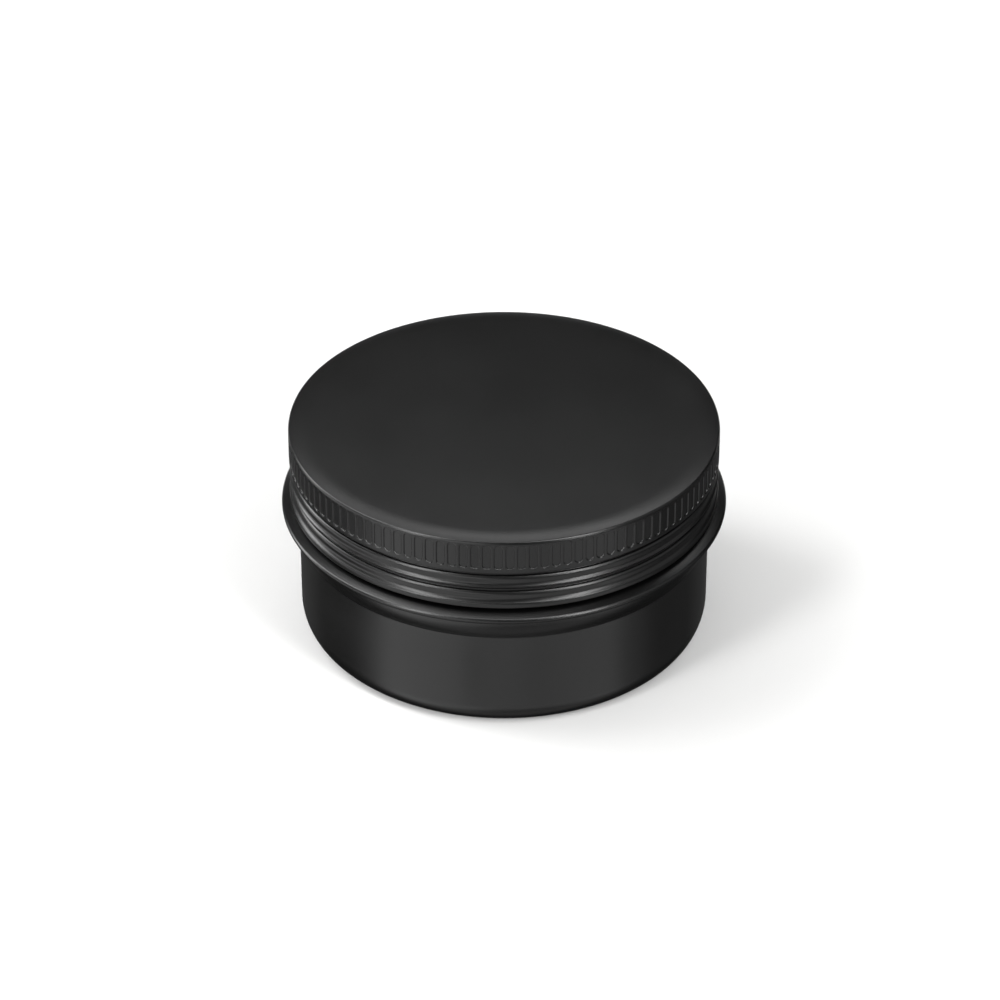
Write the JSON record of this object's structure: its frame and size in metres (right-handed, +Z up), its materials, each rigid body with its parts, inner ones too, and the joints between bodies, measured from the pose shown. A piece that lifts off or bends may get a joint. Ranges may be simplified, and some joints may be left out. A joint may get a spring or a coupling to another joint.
{
  "type": "candle tin",
  "caption": "Low round screw-top aluminium tin with a satin black finish, a knurled grip band, rolled beads and a foam-lined lid, for poured candles.",
  "frame": {"origin": "centre of the base, on the plane the tin stands on", "axes": "+Z up along the turning axis of the lid; X and Y are free because the tin is round"},
  "size_m": [0.071, 0.071, 0.0357],
  "materials": {
    "can_black_lacquer": "satin black lacquer over aluminium",
    "lid_black_lacquer": "satin black lacquer over aluminium",
    "liner_foam": "fine closed-cell foam"
  },
  "bodies": {
    "can": {"can_body": "can_black_lacquer"},
    "liner": {"lid_liner": "liner_foam"},
    "lid": {"lid_shell": "lid_black_lacquer"}
  },
  "joints": [
    {"name": "lid_lift", "type": "slide", "parent": "can", "child": "liner", "axis": [0, 0, 1], "range_m": [0, 0.012]},
    {"name": "lid_turn", "type": "hinge", "parent": "liner", "child": "lid", "pos_m": [0, 0, 0.02], "axis": [0, 0, 1], "range_deg": [0, 1440]}
  ],
  "couplings": [
    {"joint": "lid_lift", "follows": "lid_turn", "m_per_rad": 0.00047746}
  ]
}
